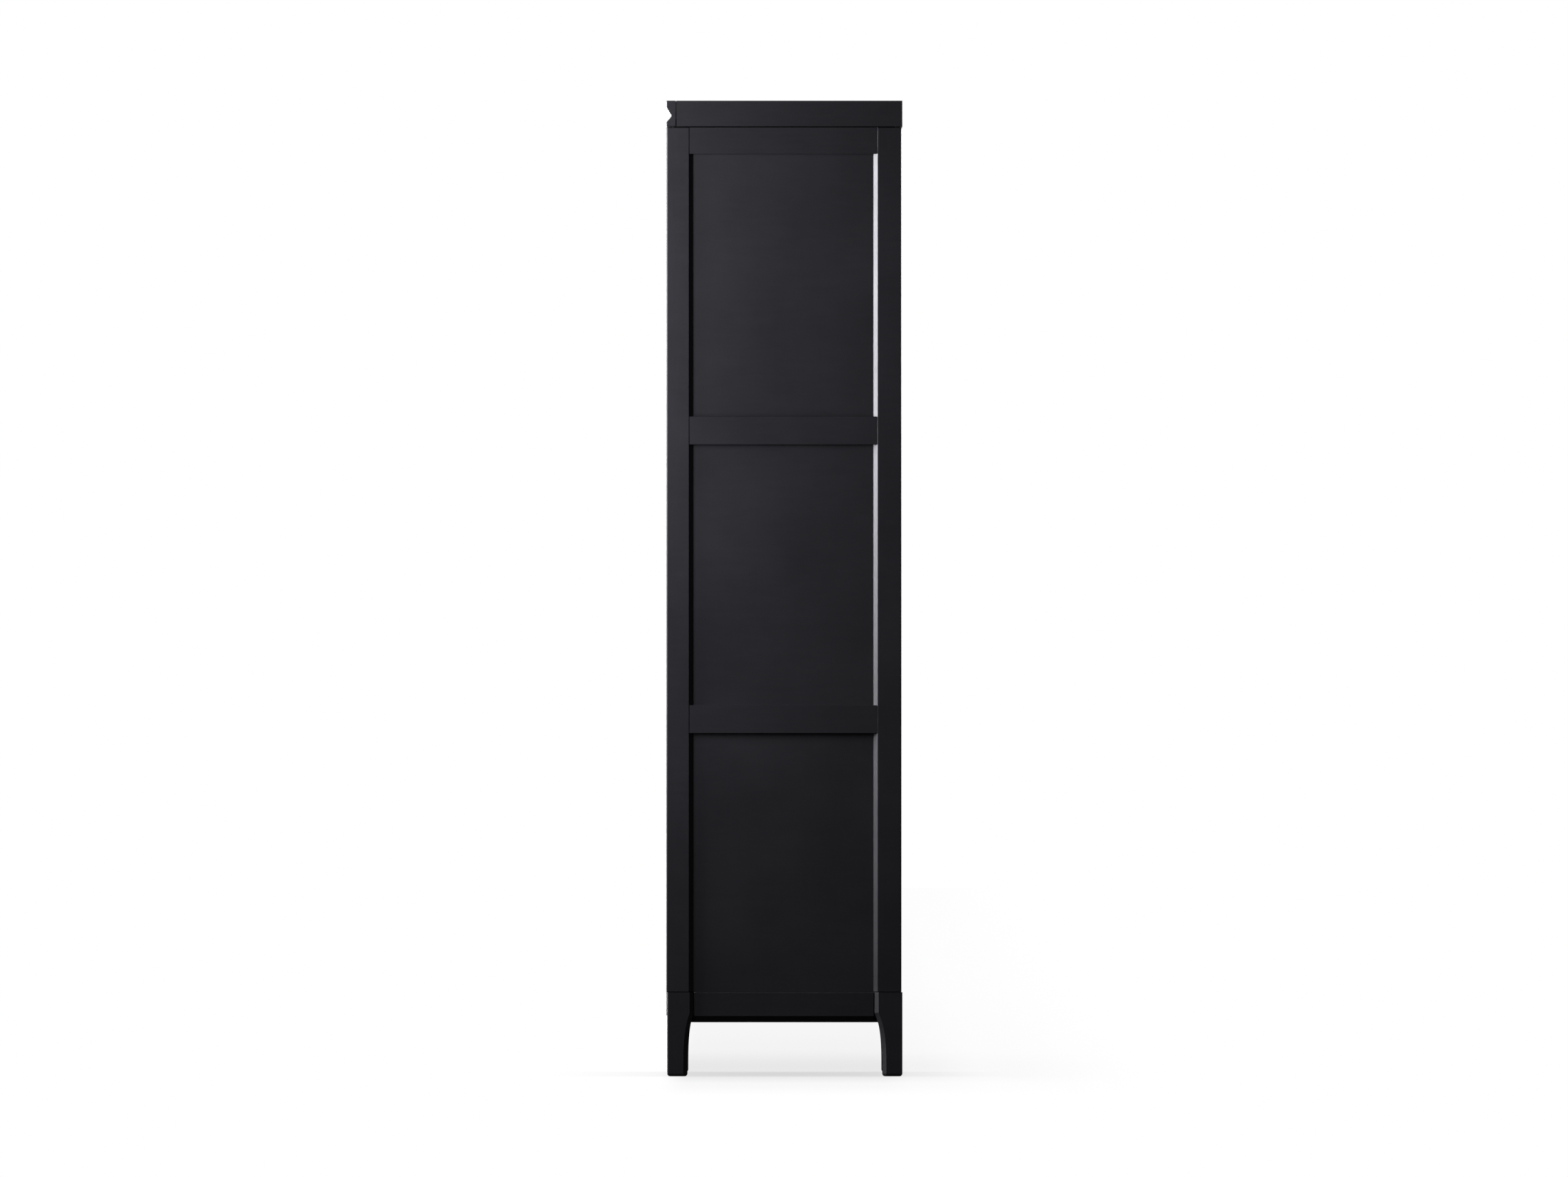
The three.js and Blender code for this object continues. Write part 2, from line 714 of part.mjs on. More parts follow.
// Each half is made on the right and mirrored for the left.
function half(side) {
  const group = new THREE.Group();
  group.add(...caseSide(side), ...door(side), ...hinges(side));
  group.add(piece(`crown_side_${side}`, crownSide(), blackLacquer));
  group.add(piece(`rod_socket_${side}`, rodSocket(), steel));
  group.scale.x = side === "left" ? -1 : 1;
  return group;
}

const wardrobe = new THREE.Group();
wardrobe.add(half("right"), half("left"), ...carcase());
wardrobe.add(piece("crown_fascia", crownFascia(), blackLacquer));
wardrobe.add(piece("crown_back", crownBack(), blackLacquer));
wardrobe.add(piece("top_board", topBoard(), blackInside));
wardrobe.add(piece("hanging_rod", hangingRod(), steel));

export default wardrobe;
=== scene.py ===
import json
import math
import random

import bmesh
import bpy
from mathutils import Matrix, Vector


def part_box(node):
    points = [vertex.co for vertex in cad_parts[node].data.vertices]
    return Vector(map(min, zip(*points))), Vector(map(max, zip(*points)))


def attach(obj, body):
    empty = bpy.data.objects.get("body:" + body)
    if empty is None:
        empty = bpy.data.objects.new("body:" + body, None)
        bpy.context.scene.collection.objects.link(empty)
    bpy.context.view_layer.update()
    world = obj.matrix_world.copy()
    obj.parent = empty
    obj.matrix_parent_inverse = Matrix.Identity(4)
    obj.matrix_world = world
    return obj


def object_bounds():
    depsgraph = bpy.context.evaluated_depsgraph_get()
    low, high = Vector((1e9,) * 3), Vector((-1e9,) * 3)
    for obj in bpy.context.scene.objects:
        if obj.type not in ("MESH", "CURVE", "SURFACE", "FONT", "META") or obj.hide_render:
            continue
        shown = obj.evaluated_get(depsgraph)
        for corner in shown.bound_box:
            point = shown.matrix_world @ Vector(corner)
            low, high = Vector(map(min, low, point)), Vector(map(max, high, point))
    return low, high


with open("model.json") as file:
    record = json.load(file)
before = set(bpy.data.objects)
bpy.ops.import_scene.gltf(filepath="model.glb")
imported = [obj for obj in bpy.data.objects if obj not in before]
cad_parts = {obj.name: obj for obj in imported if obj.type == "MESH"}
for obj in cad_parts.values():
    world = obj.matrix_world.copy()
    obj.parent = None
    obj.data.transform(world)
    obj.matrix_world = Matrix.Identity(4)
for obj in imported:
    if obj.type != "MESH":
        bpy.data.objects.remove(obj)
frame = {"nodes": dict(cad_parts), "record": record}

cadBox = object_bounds()
print("wardrobe: CAD frame loaded,", len(frame["nodes"]), "nodes")

boxLow, boxHigh = cadBox
middle = (boxLow + boxHigh) / 2
mm = 0.001

# a long lens, looking straight at the right side
cameraSet = {
    "lens": 1200.0,  # mm, long enough to draw the side without perspective
    "sensor": 36.0,
    "frameWidth": 3.3598,  # metres across the picture at the near side
    "sideShift": -0.0007,
}


def makeCamera():
    data = bpy.data.cameras.new("camera")
    data.lens = cameraSet["lens"]
    data.sensor_width = cameraSet["sensor"]
    distance = cameraSet["frameWidth"] * cameraSet["lens"] / cameraSet["sensor"]
    data.clip_end = distance * 3
    camera = bpy.data.objects.new("camera", data)
    bpy.context.scene.collection.objects.link(camera)
    camera.location = (boxHigh.x + distance, cameraSet["sideShift"], middle.z)
    camera.rotation_euler = (math.pi / 2, 0.0, math.pi / 2)
    bpy.context.scene.camera = camera


makeCamera()
print("camera set")


def feed(tree, socket, value):
    # another node's output is linked, a plain value is set
    if isinstance(value, bpy.types.NodeSocket):
        tree.links.new(value, socket)
    else:
        socket.default_value = value


def addNode(tree, kind, settings=None, inputs=None):
    made = tree.nodes.new("ShaderNode" + kind)
    for key, value in (settings or {}).items():
        setattr(made, key, value)
    for key, value in (inputs or {}).items():
        feed(tree, made.inputs[key], value)
    return made


def maths(tree, operation, *values, clamp=False):
    made = addNode(tree, "Math", {"operation": operation, "use_clamp": clamp}, dict(enumerate(values)))
    return made.outputs[0]


def remap(tree, value, fromLow, fromHigh, toLow, toHigh):
    limits = {"Value": value, "From Min": fromLow, "From Max": fromHigh, "To Min": toLow, "To Max": toHigh}
    return addNode(tree, "MapRange", {}, limits).outputs[0]


stageSet = {
    "floorRadius": 70.0,
    "floorSides": 96,
    "floorUnseen": 0.04,  # little light bounces back from it into the black lacquer
    "background": 1.0,
    "ambient": 0.03,
    # painted contact shadow in the floor's glow, from ambient occlusion: how far it reaches, how dark it
    # gets, how many rays
    "contact": {"reach": 0.3, "depth": 0.2, "rays": 12},
    # painted soft shadow under and behind the wardrobe, drawn into the floor's glow: how deep at each
    # distance along X and Y, in metres
    "shade": 0.21,
    "shadeAlongX": ((-24.0, 0.30), (-11.0, 0.42), (-6.5, 0.5), (-1.6, 0.95), (0.2, 0.9), (2.4, 0.28),
                    (5.0, 0.0)),
    "shadeAlongY": ((-0.27, 0.0), (-0.2, 1.0), (0.2, 1.0), (0.28, 0.55), (0.44, 0.25), (0.8, 0.0)),
}

lightSet = [
    {"name": "frontKey", "at": (0.9, -3.4, 1.9), "aim": (0.3, -0.1, 1.4),
     "size": (1.6, 1.2), "watts": 188, "colour": (1.0, 0.99, 1.06)},
    {"name": "frontFill", "at": (0.9, -3.2, 1.7), "aim": (0.3, -0.1, 1.4),
     "size": (1.2, 1.0), "watts": 64, "colour": (1.0, 0.99, 1.06)},
    {"name": "nearFill", "at": (1.15, -0.9, 1.45), "aim": (0.5, 0.0, 1.4),
     "size": (0.3, 1.4), "watts": 24, "colour": (1.0, 0.97, 1.13)},
    {"name": "topFill", "at": (2.2, -1.0, 2.1), "aim": (0.5, -0.1, 1.6),
     "size": (0.8, 0.8), "watts": 10.5, "colour": (1.0, 0.97, 1.1)},
    {"name": "backSoft", "at": (-0.3, 3.3, 2.1), "aim": (-0.1, 0.25, 1.1),
     "size": (1.4, 1.4), "watts": 90, "colour": (1.0, 1.0, 1.0)},
    {"name": "leftSoft", "at": (-3.6, -1.4, 2.4), "aim": (-0.4, 0.0, 1.2),
     "size": (1.6, 2.0), "watts": 140, "colour": (1.0, 1.0, 1.0)},
    {"name": "backLeftSoft", "at": (-3.2, 3.0, 2.2), "aim": (-0.3, 0.2, 1.1),
     "size": (1.6, 2.0), "watts": 120, "colour": (1.0, 1.0, 1.0)},
    {"name": "leftLow", "at": (-3.3, -2.3, 0.9), "aim": (-0.5, 0.1, 1.1),
     "size": (2.2, 1.6), "watts": 110, "colour": (1.0, 1.0, 1.0)},
]


def makeWorld():
    world = bpy.data.worlds.new("studio")
    bpy.context.scene.world = world
    world.use_nodes = True
    tree = world.node_tree
    tree.nodes.clear()
    seen = addNode(tree, "LightPath").outputs["Is Camera Ray"]
    strength = remap(tree, seen, 0.0, 1.0, stageSet["ambient"], stageSet["background"])
    sky = addNode(tree, "Background", {}, {"Color": (1.0, 1.0, 1.0, 1.0), "Strength": strength})
    addNode(tree, "OutputWorld", {}, {"Surface": sky.outputs[0]})


def ramp(tree, value, stops):
    low, high = stops[0][0], stops[-1][0]
    made = addNode(tree, "ValToRGB", {}, {0: remap(tree, value, low, high, 0.0, 1.0)})
    made.color_ramp.interpolation = "EASE"
    marks = made.color_ramp.elements
    for position, level in stops:
        share = (position - low) / (high - low)
        mark = marks[0] if share == 0 else marks[-1] if share == 1 else marks.new(share)
        mark.color = (level, level, level, 1.0)
    return made.outputs["Color"]


def makeFloor():
    bm = bmesh.new()
    bmesh.ops.create_circle(bm, cap_ends=True, radius=stageSet["floorRadius"],
                             segments=stageSet["floorSides"])
    mesh = bpy.data.meshes.new("floor")
    bm.to_mesh(mesh)
    bm.free()
    floor = bpy.data.objects.new("floor", mesh)
    bpy.context.scene.collection.objects.link(floor)
    paper = bpy.data.materials.new("studioPaper")
    paper.use_nodes = True
    tree = paper.node_tree
    shader = tree.nodes["Principled BSDF"]
    shader.inputs["Roughness"].default_value = 0.9
    shader.inputs["Specular IOR Level"].default_value = 0.0
    shader.inputs["Emission Color"].default_value = (1.0, 1.0, 1.0, 1.0)
    seen = addNode(tree, "LightPath").outputs["Is Camera Ray"]
    axes = addNode(tree, "SeparateXYZ", {}, {0: addNode(tree, "NewGeometry").outputs["Position"]})
    # painted shadow: the shade band dims the floor's glow under and behind the wardrobe
    band = maths(tree, "MULTIPLY", ramp(tree, axes.outputs["X"], stageSet["shadeAlongX"]),
                 ramp(tree, axes.outputs["Y"], stageSet["shadeAlongY"]))
    lit = maths(tree, "SUBTRACT", 1.0, maths(tree, "MULTIPLY", band, stageSet["shade"]))
    contact = stageSet["contact"]
    # painted contact shadow: the glow dims where ambient occlusion finds the wardrobe near
    near = addNode(tree, "AmbientOcclusion", {"samples": contact["rays"]}, {"Distance": contact["reach"]})
    free = remap(tree, near.outputs["AO"], 0.0, 1.0, 1.0 - contact["depth"], 1.0)
    glow = maths(tree, "MULTIPLY", maths(tree, "MULTIPLY", lit, free), seen)
    tree.links.new(glow, shader.inputs["Emission Strength"])
    bounce = remap(tree, seen, 0.0, 1.0, stageSet["floorUnseen"], 0.0)
    tree.links.new(bounce, shader.inputs["Base Color"])
    mesh.materials.append(paper)


def makeLights():
    for spec in lightSet:
        data = bpy.data.lights.new(spec["name"], "AREA")
        data.shape = "RECTANGLE"
        data.size, data.size_y = spec["size"]
        data.energy = spec["watts"]
        data.color = spec["colour"]
        lamp = bpy.data.objects.new(spec["name"], data)
        bpy.context.scene.collection.objects.link(lamp)
        lamp.location = spec["at"]
        way = Vector(spec["aim"]) - Vector(spec["at"])
        lamp.rotation_euler = way.to_track_quat("-Z", "Y").to_euler()


makeWorld()
makeFloor()
makeLights()
bpy.context.scene.view_settings.view_transform = "Standard"
print("stage and lights set")


def newGroup(name, inputs, outputs):
    group = bpy.data.node_groups.new(name, "ShaderNodeTree")
    for label, kind, value in inputs:
        socket = group.interface.new_socket(name=label, in_out="INPUT", socket_type=kind)
        if value is not None:
            socket.default_value = value
    for label, kind in outputs:
        group.interface.new_socket(name=label, in_out="OUTPUT", socket_type=kind)
    return group, group.nodes.new("NodeGroupInput"), group.nodes.new("NodeGroupOutput")


def useGroup(tree, group, inputs):
    made = tree.nodes.new("ShaderNodeGroup")
    made.node_tree = group
    for key, value in inputs.items():
        feed(tree, made.inputs[key], value)
    return made


def noise(tree, vector, scale, detail, **more):
    inputs = {"Vector": vector, "Scale": scale, "Detail": detail}
    inputs.update((label.capitalize(), value) for label, value in more.items())
    return addNode(tree, "TexNoise", {}, inputs).outputs[0]


def smoothStep(tree, value, low, high):
    return addNode(tree, "MapRange", {"interpolation_type": "SMOOTHSTEP"},
                   {"Value": value, "From Min": low, "From Max": high}).outputs[0]


def stretched(tree, vector, by):
    return addNode(tree, "VectorMath", {"operation": "MULTIPLY"}, {0: vector, 1: by}).outputs[0]


def makeGrainGroup():
    # Wood that still shows faintly through lacquer: long fibres and short open pores.
    group, given, result = newGroup(
        "woodUnderLacquer",
        [("Vector", "NodeSocketVector", None), ("Stretch", "NodeSocketVector", (1.0, 1.0, 1.0)),
         ("Fineness", "NodeSocketFloat", 260.0)],
        [("Fibre", "NodeSocketFloat"), ("Pores", "NodeSocketFloat")],
    )
    along = stretched(group, given.outputs["Vector"], given.outputs["Stretch"])
    fibre = noise(group, along, given.outputs["Fineness"], 5.0, roughness=0.62, distortion=0.35)
    finer = maths(group, "MULTIPLY", given.outputs["Fineness"], 2.4)
    pores = smoothStep(group, noise(group, along, finer, 2.0, roughness=0.5), 0.62, 0.74)
    group.links.new(fibre, result.inputs["Fibre"])
    group.links.new(pores, result.inputs["Pores"])
    return group


def makeSkinGroup():
    # The sprayed skin: orange peel for bump, slow clouds and faint wiping marks for roughness.
    group, given, result = newGroup(
        "sprayedSkin",
        [("Vector", "NodeSocketVector", None), ("Peel Scale", "NodeSocketFloat", 420.0),
         ("Cloud Scale", "NodeSocketFloat", 5.0)],
        [("Peel", "NodeSocketFloat"), ("Clouds", "NodeSocketFloat"), ("Wiping", "NodeSocketFloat")],
    )
    vector = given.outputs["Vector"]
    peel = noise(group, vector, given.outputs["Peel Scale"], 2.0, roughness=0.45)
    clouds = noise(group, vector, given.outputs["Cloud Scale"], 3.0, roughness=0.5)
    strokes = stretched(group, vector, (9.0, 9.0, 70.0))
    wiping = noise(group, strokes, 1.3, 4.0, roughness=0.6, distortion=1.2)
    group.links.new(peel, result.inputs["Peel"])
    group.links.new(clouds, result.inputs["Clouds"])
    group.links.new(wiping, result.inputs["Wiping"])
    return group


def makeEdgeGroup():
    # Where hands and dusters rub the arrises: the rounded normal leaves the flat one, in patches.
    group, given, result = newGroup(
        "rubbedEdges",
        [("Vector", "NodeSocketVector", None), ("Reach", "NodeSocketFloat", 0.0025),
         ("Breakup", "NodeSocketFloat", 60.0)],
        [("Mask", "NodeSocketFloat")],
    )
    soft = addNode(group, "Bevel", {"samples": 4}, {"Radius": given.outputs["Reach"]})
    flat = addNode(group, "NewGeometry").outputs["Normal"]
    same = addNode(group, "VectorMath", {"operation": "DOT_PRODUCT"}, {0: soft.outputs[0], 1: flat})
    sharp = smoothStep(group, maths(group, "SUBTRACT", 1.0, same.outputs["Value"]), 0.02, 0.22)
    patches = noise(group, given.outputs["Vector"], given.outputs["Breakup"], 4.0, roughness=0.6)
    mask = maths(group, "MULTIPLY", sharp, remap(group, patches, 0.38, 0.66, 0.0, 1.0), clamp=True)
    group.links.new(mask, result.inputs["Mask"])
    return group


def makeDustGroup():
    # Fine dust on whatever faces up.
    group, given, result = newGroup(
        "settledDust",
        [("Vector", "NodeSocketVector", None), ("Amount", "NodeSocketFloat", 0.2)],
        [("Mask", "NodeSocketFloat")],
    )
    flat = addNode(group, "NewGeometry").outputs["Normal"]
    up = smoothStep(group, addNode(group, "SeparateXYZ", {}, {"Vector": flat}).outputs["Z"], 0.75, 1.0)
    specks = noise(group, given.outputs["Vector"], 340.0, 3.0)
    drifts = noise(group, given.outputs["Vector"], 6.0, 3.0)
    spread = maths(group, "MULTIPLY", maths(group, "MULTIPLY", specks, drifts), up)
    mask = maths(group, "MULTIPLY", spread, given.outputs["Amount"], clamp=True)
    group.links.new(mask, result.inputs["Mask"])
    return group


def makeBrushGroup():
    # Hair-fine scratches of drawn or brushed metal.
    group, given, result = newGroup(
        "drawnMetal",
        [("Vector", "NodeSocketVector", None), ("Stretch", "NodeSocketVector", (1.0, 1.0, 1.0))],
        [("Lines", "NodeSocketFloat"), ("Tarnish", "NodeSocketFloat")],
    )
    along = stretched(group, given.outputs["Vector"], given.outputs["Stretch"])
    lines = noise(group, along, 900.0, 3.0, roughness=0.7)
    tarnish = noise(group, given.outputs["Vector"], 24.0, 4.0)
    group.links.new(lines, result.inputs["Lines"])
    group.links.new(tarnish, result.inputs["Tarnish"])
    return group


grainGroup = makeGrainGroup()
skinGroup = makeSkinGroup()
edgeGroup = makeEdgeGroup()
dustGroup = makeDustGroup()
brushGroup = makeBrushGroup()
print("shader groups built")

# the grain runs along each board's length
grainAlong = {
    "x": (0.05, 1.0, 1.0),
    "y": (1.0, 0.05, 1.0),
    "z": (1.0, 1.0, 0.05),
}

lacquerFinish = {
    "blackLacquer": {"dark": (0.0062, 0.0062, 0.0068, 1.0), "light": (0.0105, 0.0102, 0.0112, 1.0),
                     "roughness": 0.36, "spread": 0.1, "fibreBump": 0.05, "peelBump": 0.1,
                     "rub": 0.5, "dust": 0.1, "specular": 0.5},
    "blackPanel": {"dark": (0.0064, 0.0064, 0.0070, 1.0), "light": (0.0100, 0.0098, 0.0107, 1.0),
                   "roughness": 0.38, "spread": 0.1, "fibreBump": 0.03, "peelBump": 0.1,
                   "rub": 0.35, "dust": 0.1, "specular": 0.5},
    "blackInside": {"dark": (0.0085, 0.0084, 0.0088, 1.0), "light": (0.0135, 0.0132, 0.0138, 1.0),
                    "roughness": 0.5, "spread": 0.08, "fibreBump": 0.12, "peelBump": 0.05,
                    "rub": 0.3, "dust": 0.35, "specular": 0.4},
}
lacquerBlend = {"cloudTone": 0.6, "fibreTone": 0.5, "wipingShare": 0.6, "settle": 0.8, "dustMatt": 0.5,
                "rubShine": 0.12, "relief": 0.4 * mm,
                "rubbed": (0.022, 0.021, 0.021, 1.0), "dusty": (0.32, 0.30, 0.27, 1.0)}
pieceShift = 7.0  # how far apart in the pattern two boards may start


def newMaterial(name):
    material = bpy.data.materials.new(name)
    material.use_nodes = True
    tree = material.node_tree
    # every board is cut from its own stretch of wood or metal
    own = addNode(tree, "ObjectInfo").outputs["Random"]
    shift = maths(tree, "MULTIPLY", own, pieceShift)
    here = addNode(tree, "TexCoord").outputs["Object"]
    coords = addNode(tree, "VectorMath", {"operation": "ADD"}, {0: here, 1: shift}).outputs[0]
    return material, tree, tree.nodes["Principled BSDF"], coords


def mixColours(tree, factor, a, b):
    # a Mix node keeps its two colours at inputs 6 and 7 and its colour result at output 2
    return addNode(tree, "Mix", {"data_type": "RGBA"}, {"Factor": factor, 6: a, 7: b}).outputs[2]


def addRelief(tree, shader, height, strength, distance):
    bump = addNode(tree, "Bump", {}, {"Height": height, "Strength": strength, "Distance": distance})
    tree.links.new(bump.outputs[0], shader.inputs["Normal"])


def makeLacquer(finish, axis):
    spec, blend = lacquerFinish[finish], lacquerBlend
    material, tree, shader, coords = newMaterial(finish + "_" + axis)
    grain = useGroup(tree, grainGroup, {"Vector": coords, "Stretch": grainAlong[axis]})
    skin = useGroup(tree, skinGroup, {"Vector": coords})
    edge = useGroup(tree, edgeGroup, {"Vector": coords})
    dust = useGroup(tree, dustGroup, {"Vector": coords, "Amount": spec["dust"]})
    # colour: pigment clouds, a breath of the fibres, rubbed arrises, dust
    toned = maths(tree, "MULTIPLY", grain.outputs["Fibre"], blend["fibreTone"])
    pigment = maths(tree, "MULTIPLY_ADD", skin.outputs["Clouds"], blend["cloudTone"], toned, clamp=True)
    body = mixColours(tree, pigment, spec["dark"], spec["light"])
    rubbed = maths(tree, "MULTIPLY", edge.outputs["Mask"], spec["rub"])
    worn = mixColours(tree, rubbed, body, blend["rubbed"])
    dusty = mixColours(tree, dust.outputs["Mask"], worn, blend["dusty"])
    tree.links.new(dusty, shader.inputs["Base Color"])
    # roughness: clouds and wiping marks, smoother where rubbed
    clouds = maths(tree, "MULTIPLY", skin.outputs["Clouds"], spec["spread"])
    wiping = maths(tree, "MULTIPLY", skin.outputs["Wiping"], spec["spread"] * blend["wipingShare"])
    base = spec["roughness"] - spec["spread"] * blend["settle"]
    level = maths(tree, "ADD", maths(tree, "ADD", clouds, wiping), base)
    matt = maths(tree, "MULTIPLY_ADD", dust.outputs["Mask"], blend["dustMatt"], level)
    shine = maths(tree, "MULTIPLY", rubbed, blend["rubShine"])
    smooth = maths(tree, "SUBTRACT", matt, shine, clamp=True)
    tree.links.new(smooth, shader.inputs["Roughness"])
    shader.inputs["Specular IOR Level"].default_value = spec["specular"]
    # relief: orange peel over the telegraphed fibres
    peel = maths(tree, "MULTIPLY", skin.outputs["Peel"], spec["peelBump"])
    fibre = maths(tree, "MULTIPLY", grain.outputs["Fibre"], spec["fibreBump"])
    pores = maths(tree, "MULTIPLY", grain.outputs["Pores"], -spec["fibreBump"])
    height = maths(tree, "ADD", peel, maths(tree, "ADD", fibre, pores))
    addRelief(tree, shader, height, 1.0, blend["relief"])
    return material


metalFinish = {
    "nickel": {"dark": (0.50, 0.49, 0.47, 1.0), "light": (0.66, 0.65, 0.63, 1.0), "roughness": 0.24,
               "metal": 1.0, "stretch": (0.02, 1.0, 1.0), "lines": 0.06},
    "blackSteel": {"dark": (0.022, 0.022, 0.024, 1.0), "light": (0.045, 0.044, 0.045, 1.0),
                   "roughness": 0.36, "metal": 0.85, "stretch": (1.0, 1.0, 0.03), "lines": 0.05},
}
metalBlend = {"lineRough": 0.14, "tarnishRough": 0.1, "settle": 0.12, "relief": 0.3 * mm, "bareMix": 0.5,
              "bare": (0.6, 0.59, 0.57, 1.0), "edgeReach": 0.8 * mm, "edgeBreakup": 180.0}


def makeMetal(finish):
    spec, blend = metalFinish[finish], metalBlend
    material, tree, shader, coords = newMaterial(finish)
    brush = useGroup(tree, brushGroup, {"Vector": coords, "Stretch": spec["stretch"]})
    edge = useGroup(tree, edgeGroup, {"Vector": coords, "Reach": blend["edgeReach"],
                                      "Breakup": blend["edgeBreakup"]})
    tone = mixColours(tree, brush.outputs["Tarnish"], spec["dark"], spec["light"])
    bared = maths(tree, "MULTIPLY", edge.outputs["Mask"], blend["bareMix"])
    bright = mixColours(tree, bared, tone, blend["bare"])
    tree.links.new(bright, shader.inputs["Base Color"])
    shader.inputs["Metallic"].default_value = spec["metal"]
    lined = maths(tree, "MULTIPLY", brush.outputs["Lines"], blend["lineRough"])
    rough = maths(tree, "MULTIPLY_ADD", brush.outputs["Tarnish"], blend["tarnishRough"], lined)
    level = maths(tree, "ADD", rough, spec["roughness"] - blend["settle"])
    tree.links.new(level, shader.inputs["Roughness"])
    scratches = maths(tree, "MULTIPLY", brush.outputs["Lines"], spec["lines"])
    addRelief(tree, shader, scratches, 1.0, blend["relief"])
    return material


plasticFinish = {"dark": (0.012, 0.012, 0.012, 1.0), "light": (0.022, 0.022, 0.022, 1.0),
                 "roughness": 0.44, "spread": 0.12, "peelScale": 1400.0, "cloudScale": 30.0,
                 "peelBump": 0.5, "relief": 0.2 * mm}


def makePlastic():
    spec = plasticFinish
    material, tree, shader, coords = newMaterial("mouldedPlastic")
    skin = useGroup(tree, skinGroup, {"Vector": coords, "Peel Scale": spec["peelScale"],
                                      "Cloud Scale": spec["cloudScale"]})
    tone = mixColours(tree, skin.outputs["Clouds"], spec["dark"], spec["light"])
    tree.links.new(tone, shader.inputs["Base Color"])
    rough = maths(tree, "MULTIPLY_ADD", skin.outputs["Clouds"], spec["spread"], spec["roughness"])
    tree.links.new(rough, shader.inputs["Roughness"])
    addRelief(tree, shader, skin.outputs["Peel"], spec["peelBump"], spec["relief"])
    return material


finishes = {name + "_" + axis: makeLacquer(name, axis) for name in lacquerFinish for axis in "xyz"}
finishes.update({name: makeMetal(name) for name in metalFinish})
finishes["mouldedPlastic"] = makePlastic()
print("finishes mixed:", len(finishes))

slotFinish = {
    "lacquer": "blackLacquer",
    "panel_lacquer": "blackPanel",
    "inside_lacquer": "blackInside",
    "plated_steel": "nickel",
    "dark_steel": "blackSteel",
    "catch_plastic": "mouldedPlastic",
}

# how far each finish rounds a sharp edge
arris = {"blackLacquer": 0.3 * mm, "blackPanel": 0.3 * mm, "blackInside": 0.3 * mm, "nickel": 0.25 * mm,
         "blackSteel": 0.2 * mm, "mouldedPlastic": 0.5 * mm}
edgeShape = {"samePlane": 0.6, "sharpOver": 24, "segments": 3, "faceWeight": 80}  # angles in degrees


def longestAxis(name):
    low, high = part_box(name)
    size = high - low
    return "xyz"[max(range(3), key=lambda i: size[i])]


def softenEdges(piece, width):
    planar = piece.modifiers.new("oneFacePerPlane", "DECIMATE")
    planar.decimate_type = "DISSOLVE"
    planar.angle_limit = math.radians(edgeShape["samePlane"])
    bevel = piece.modifiers.new("arris", "BEVEL")
    bevel.width = width
    bevel.segments = edgeShape["segments"]
    bevel.limit_method = "ANGLE"
    bevel.angle_limit = math.radians(edgeShape["sharpOver"])
    bevel.miter_outer = "MITER_ARC"
    bevel.use_clamp_overlap = True
    shade = piece.modifiers.new("flatFacesStayFlat", "WEIGHTED_NORMAL")
    shade.mode = "FACE_AREA"
    shade.weight = edgeShape["faceWeight"]
    shade.keep_sharp = True


def finishCadPieces():
    slots = {entry["node"]: entry["material_slot"] for entry in frame["record"]["subparts"]}
    for name, piece in frame["nodes"].items():
        finish = slotFinish[slots[name]]
        material = finishes.get(finish) or finishes[finish + "_" + longestAxis(name)]
        piece.data.materials.clear()
        piece.data.materials.append(material)
        for polygon in piece.data.polygons:
            polygon.use_smooth = True
        softenEdges(piece, arris[finish])


finishCadPieces()
print("CAD pieces finished")


fittingShape = {
    "sides": 28,
    "cornerSteps": 5,
    "sharpOver": 32,  # degrees
    # a low rounded screw head with a cross recess, in shares of its radius and lift
    "dome": ((1.0, 0.0), (1.0, 0.3), (0.95, 0.62), (0.86, 0.85), (0.74, 1.0)),
    "recess": {"halfWidth": 0.17, "reach": 0.58, "taper": 0.8, "floor": 0.15},
}


def cadEdges(name):
    # lowest and highest corner of a CAD node in millimetres
    low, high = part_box(name)
    return low / mm, high / mm


def spotAt(x, y, z, facing):
    # a frame at that point in millimetres, its +Z turned to the way the fitting faces
    turn = Vector(facing).to_track_quat("Z", "Y").to_matrix().to_4x4()
    return Matrix.Translation(Vector((x, y, z)) * mm) @ turn


def addRing(bm, matrix, points):
    return [bm.verts.new(matrix @ (Vector(point) * mm)) for point in points]


def bridge(bm, low, high):
    for i in range(len(low)):
        j = (i + 1) % len(low)
        bm.faces.new((low[i], low[j], high[j], high[i]))


def closeStack(bm, rings):
    # walls between each ring and the next, and a face on both ends
    for low, high in zip(rings, rings[1:]):
        bridge(bm, low, high)
    bm.faces.new(list(reversed(rings[0])))
    bm.faces.new(rings[-1])


def circle(radius, z):
    sides = fittingShape["sides"]
    turns = [2 * math.pi * i / sides for i in range(sides)]
    return [(radius * math.cos(turn), radius * math.sin(turn), z) for turn in turns]


def addTurned(bm, matrix, profile):
    # profile: (radius, height) pairs from the foot up
    closeStack(bm, [addRing(bm, matrix, circle(radius, z)) for radius, z in profile])


def roundedOutline(halfWidth, halfHeight, corner, z, inset=0.0):
    points = []
    radius = corner - inset
    steps = fittingShape["cornerSteps"]
    centres = ((1, 1, 0), (-1, 1, 90), (-1, -1, 180), (1, -1, 270))
    for sx, sy, start in centres:
        for step in range(steps + 1):
            turn = math.radians(start + 90 * step / steps)
            x = sx * (halfWidth - corner) + radius * math.cos(turn)
            y = sy * (halfHeight - corner) + radius * math.sin(turn)
            points.append((x, y, z))
    return points


